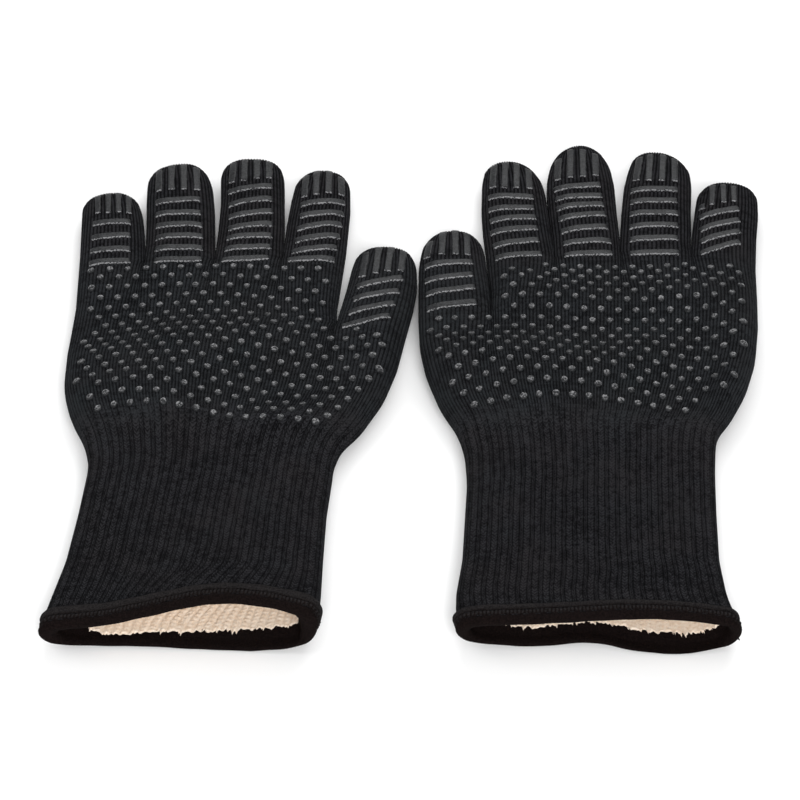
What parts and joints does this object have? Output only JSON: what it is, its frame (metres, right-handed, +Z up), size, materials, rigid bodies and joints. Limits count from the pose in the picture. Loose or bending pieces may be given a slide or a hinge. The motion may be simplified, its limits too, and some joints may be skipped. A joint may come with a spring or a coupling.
{
  "type": "pair of heat resistant gloves",
  "caption": "Pair of lined, knitted, fingered heat resistant gloves, palms up, with long bound cuffs and a raised silicone dot and bar grip; fingers, thumbs and wrists fold.",
  "frame": {"origin": "middle of the pair, on the surface that the backs of the hands lie on", "axes": "+Z up, out of the palms; +Y towards the finger tips; +X towards the left-hand glove"},
  "size_m": [0.3439, 0.339, 0.026],
  "materials": {
    "knit_shell": "ribbed charcoal knit, matt",
    "binding": "overlocked yarn, matt",
    "cotton_lining": "cream cotton terry, matt",
    "silicone": "dark grey silicone, satin"
  },
  "bodies": {
    "right_hand": {"right_hand_shell": "knit_shell", "right_hand_lining": "cotton_lining", "right_hand_grip": "silicone"},
    "right_cuff": {"right_cuff_shell": "knit_shell", "right_cuff_lining": "cotton_lining", "right_cuff_binding": "binding"},
    "right_little": {"right_little_shell": "knit_shell", "right_little_lining": "cotton_lining", "right_little_grip": "silicone"},
    "right_ring_base": {"right_ring_base_shell": "knit_shell", "right_ring_base_lining": "cotton_lining", "right_ring_base_grip": "silicone"},
    "right_ring_tip": {"right_ring_tip_shell": "knit_shell", "right_ring_tip_lining": "cotton_lining", "right_ring_tip_grip": "silicone"},
    "right_middle_base": {"right_middle_base_shell": "knit_shell", "right_middle_base_lining": "cotton_lining", "right_middle_base_grip": "silicone"},
    "right_middle_tip": {"right_middle_tip_shell": "knit_shell", "right_middle_tip_lining": "cotton_lining", "right_middle_tip_grip": "silicone"},
    "right_index_base": {"right_index_base_shell": "knit_shell", "right_index_base_lining": "cotton_lining", "right_index_base_grip": "silicone"},
    "right_index_tip": {"right_index_tip_shell": "knit_shell", "right_index_tip_lining": "cotton_lining", "right_index_tip_grip": "silicone"},
    "right_thumb": {"right_thumb_shell": "knit_shell", "right_thumb_lining": "cotton_lining", "right_thumb_grip": "silicone"},
    "left_hand": {"left_hand_shell": "knit_shell", "left_hand_lining": "cotton_lining", "left_hand_grip": "silicone"},
    "left_cuff": {"left_cuff_shell": "knit_shell", "left_cuff_lining": "cotton_lining", "left_cuff_binding": "binding"},
    "left_thumb": {"left_thumb_shell": "knit_shell", "left_thumb_lining": "cotton_lining", "left_thumb_grip": "silicone"},
    "left_index_base": {"left_index_base_shell": "knit_shell", "left_index_base_lining": "cotton_lining", "left_index_base_grip": "silicone"},
    "left_index_tip": {"left_index_tip_shell": "knit_shell", "left_index_tip_lining": "cotton_lining", "left_index_tip_grip": "silicone"},
    "left_middle_base": {"left_middle_base_shell": "knit_shell", "left_middle_base_lining": "cotton_lining", "left_middle_base_grip": "silicone"},
    "left_middle_tip": {"left_middle_tip_shell": "knit_shell", "left_middle_tip_lining": "cotton_lining", "left_middle_tip_grip": "silicone"},
    "left_ring_base": {"left_ring_base_shell": "knit_shell", "left_ring_base_lining": "cotton_lining", "left_ring_base_grip": "silicone"},
    "left_ring_tip": {"left_ring_tip_shell": "knit_shell", "left_ring_tip_lining": "cotton_lining", "left_ring_tip_grip": "silicone"},
    "left_little": {"left_little_shell": "knit_shell", "left_little_lining": "cotton_lining", "left_little_grip": "silicone"}
  },
  "joints": [
    {"name": "right_wrist_fold", "type": "hinge", "parent": "right_hand", "child": "right_cuff", "pos_m": [-0.09765, -0.0671, 0.015], "axis": [-1, 0, 0], "range_deg": [0, 80]},
    {"name": "right_little_root_fold", "type": "hinge", "parent": "right_hand", "child": "right_little", "pos_m": [-0.15445, 0.0869, 0.015], "axis": [0.9983, 0.0576, 0], "range_deg": [0, 85]},
    {"name": "right_ring_root_fold", "type": "hinge", "parent": "right_hand", "child": "right_ring_base", "pos_m": [-0.12125, 0.0871, 0.015], "axis": [0.9993, 0.0384, 0], "range_deg": [0, 85]},
    {"name": "right_ring_middle_fold", "type": "hinge", "parent": "right_ring_base", "child": "right_ring_tip", "pos_m": [-0.12215, 0.115, 0.015], "axis": [0.9993, 0.0384, 0], "range_deg": [0, 90]},
    {"name": "right_middle_root_fold", "type": "hinge", "parent": "right_hand", "child": "right_middle_base", "pos_m": [-0.08625, 0.0878, 0.015], "axis": [1, 0, 0], "range_deg": [0, 85]},
    {"name": "right_middle_middle_fold", "type": "hinge", "parent": "right_middle_base", "child": "right_middle_tip", "pos_m": [-0.08625, 0.1146, 0.015], "axis": [1, 0, 0], "range_deg": [0, 90]},
    {"name": "right_index_root_fold", "type": "hinge", "parent": "right_hand", "child": "right_index_base", "pos_m": [-0.05315, 0.0868, 0.015], "axis": [0.9985, -0.0541, 0], "range_deg": [0, 85]},
    {"name": "right_index_middle_fold", "type": "hinge", "parent": "right_index_base", "child": "right_index_tip", "pos_m": [-0.05145, 0.1141, 0.015], "axis": [0.9985, -0.0541, 0], "range_deg": [0, 90]},
    {"name": "right_thumb_root_fold", "type": "hinge", "parent": "right_hand", "child": "right_thumb", "pos_m": [-0.02245, 0.042, 0.015], "axis": [0.989, -0.1478, 0], "range_deg": [0, 60]},
    {"name": "left_wrist_fold", "type": "hinge", "parent": "left_hand", "child": "left_cuff", "pos_m": [0.077, -0.0671, 0.015], "axis": [-1, 0, 0], "range_deg": [0, 80]},
    {"name": "left_thumb_root_fold", "type": "hinge", "parent": "left_hand", "child": "left_thumb", "pos_m": [0.01585, 0.0553, 0.015], "axis": [0.9998, 0.0175, 0], "range_deg": [0, 60]},
    {"name": "left_index_root_fold", "type": "hinge", "parent": "left_hand", "child": "left_index_base", "pos_m": [0.04905, 0.0924, 0.015], "axis": [0.9993, 0.0384, 0], "range_deg": [0, 85]},
    {"name": "left_index_middle_fold", "type": "hinge", "parent": "left_index_base", "child": "left_index_tip", "pos_m": [0.04805, 0.1188, 0.015], "axis": [0.9993, 0.0384, 0], "range_deg": [0, 90]},
    {"name": "left_middle_root_fold", "type": "hinge", "parent": "left_hand", "child": "left_middle_base", "pos_m": [0.08275, 0.0932, 0.015], "axis": [0.9999, 0.0157, 0], "range_deg": [0, 85]},
    {"name": "left_middle_middle_fold", "type": "hinge", "parent": "left_middle_base", "child": "left_middle_tip", "pos_m": [0.08235, 0.1195, 0.015], "axis": [0.9999, 0.0157, 0], "range_deg": [0, 90]},
    {"name": "left_ring_root_fold", "type": "hinge", "parent": "left_hand", "child": "left_ring_base", "pos_m": [0.11805, 0.0954, 0.015], "axis": [0.9959, -0.0906, 0], "range_deg": [0, 85]},
    {"name": "left_ring_middle_fold", "type": "hinge", "parent": "left_ring_base", "child": "left_ring_tip", "pos_m": [0.12045, 0.1241, 0.015], "axis": [0.9959, -0.0906, 0], "range_deg": [0, 90]},
    {"name": "left_little_root_fold", "type": "hinge", "parent": "left_hand", "child": "left_little", "pos_m": [0.15275, 0.097, 0.015], "axis": [0.9925, -0.1219, 0], "range_deg": [0, 85]},
    {"name": "left_glove_lift", "type": "slide", "parent": "right_hand", "child": "left_hand", "axis": [0, 0, 1], "range_m": [0, 0.15]}
  ]
}
